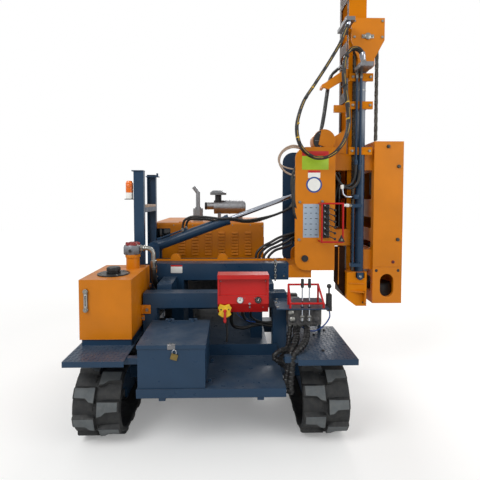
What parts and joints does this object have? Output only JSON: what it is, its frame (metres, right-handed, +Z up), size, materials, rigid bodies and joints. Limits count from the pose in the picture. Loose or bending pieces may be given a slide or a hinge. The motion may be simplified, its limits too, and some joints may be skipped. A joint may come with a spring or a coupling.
{
  "type": "side-mast pile driver rig on rubber tracks",
  "caption": "Tracked pile driver rig with a side mast in a tilting cradle, a chain-lifted hammer housing, an oil tank and an engine under a louvred hood.",
  "frame": {"origin": "middle of the rig's footprint on the ground", "axes": "+X to the side that carries the mast, +Y to the engine hood at the back, +Z up"},
  "size_m": [2.487, 2.29, 3.45],
  "materials": {
    "rubber": "moulded rubber, dusty",
    "slate_paint": "semi-gloss dark slate blue",
    "orange_paint": "semi-gloss orange",
    "red_paint": "gloss red",
    "steel": "bare steel",
    "polished_steel": "bright sheet",
    "chrome": "polished",
    "black_plastic": "matte",
    "lamp": "amber lens",
    "engine_iron": "dark casting"
  },
  "bodies": {
    "root": {"track_left": "rubber", "track_right": "rubber", "track_frame_left": "slate_paint", "track_frame_right": "slate_paint", "track_wheels": "steel", "chassis": "slate_paint", "front_deck": "slate_paint", "fender_left": "slate_paint", "fender_right": "slate_paint", "toolbox": "slate_paint", "lower_portal": "slate_paint", "upper_frame": "slate_paint", "pivot_block": "orange_paint", "mast_rest": "slate_paint", "beacon": "lamp", "oil_tank": "orange_paint", "return_filter": "steel", "suction_pipe": "steel", "engine_hood": "orange_paint", "engine_block": "engine_iron", "air_cleaner": "polished_steel", "exhaust_pipe": "polished_steel", "control_box": "red_paint", "valve_shelf": "slate_paint", "travel_valve": "steel", "lever_guard": "red_paint", "throttle_lever": "black_plastic"},
    "lid": {"toolbox_lid": "slate_paint"},
    "tilt_barrel": {"tilt_barrel": "slate_paint"},
    "tilt_rod": {"tilt_rod": "chrome"},
    "cradle": {"front_cheek": "orange_paint", "rear_cheek": "slate_paint", "cradle": "orange_paint", "tilt_pin": "steel", "mast_valve": "black_plastic", "valve_guard": "red_paint"},
    "mast": {"mast": "orange_paint", "lift_barrel": "slate_paint", "chain_tail": "steel", "loop_hose_front": "black_plastic", "loop_hose_back": "black_plastic", "hose_arms": "slate_paint"},
    "lift_head": {"lift_head": "orange_paint"},
    "hammer": {"hammer_housing": "orange_paint", "hammer_foot": "orange_paint", "chain_fall": "steel"}
  },
  "joints": [
    {"name": "lid_hinge", "type": "hinge", "parent": "root", "child": "lid", "pos_m": [-0.5945, -0.666, 0.6953], "axis": [-1, 0, 0], "range_deg": [0, 95]},
    {"name": "mast_tilt", "type": "hinge", "parent": "root", "child": "cradle", "pos_m": [0.3825, -0.085, 1.078], "axis": [0, 1, 0], "range_deg": [-87, 5]},
    {"name": "barrel_turn", "type": "hinge", "parent": "root", "child": "tilt_barrel", "pos_m": [-0.9185, 0.01, 1.14], "axis": [0, 1, 0], "range_deg": [-2.5, 25]},
    {"name": "rod_slide", "type": "slide", "parent": "tilt_barrel", "child": "tilt_rod", "axis": [0.9377, 0, 0.3475], "range_m": [-0.62, 0.04]},
    {"name": "mast_feed", "type": "slide", "parent": "cradle", "child": "mast", "axis": [0, 0, 1], "range_m": [-0.3, 0]},
    {"name": "lift_slide", "type": "slide", "parent": "mast", "child": "lift_head", "axis": [0, 0, 1], "range_m": [0, 0.6], "deforming": ["chain_tail"]},
    {"name": "hammer_slide", "type": "slide", "parent": "lift_head", "child": "hammer", "axis": [0, 0, 1], "range_m": [0, 0.6], "deforming": ["chain_fall"]}
  ],
  "couplings": [
    {"joint": "barrel_turn", "follows": "mast_tilt", "ratio": -0.27498},
    {"joint": "rod_slide", "follows": "mast_tilt", "m_per_rad": 0.4011},
    {"joint": "hammer_slide", "follows": "lift_slide", "ratio": 1}
  ]
}
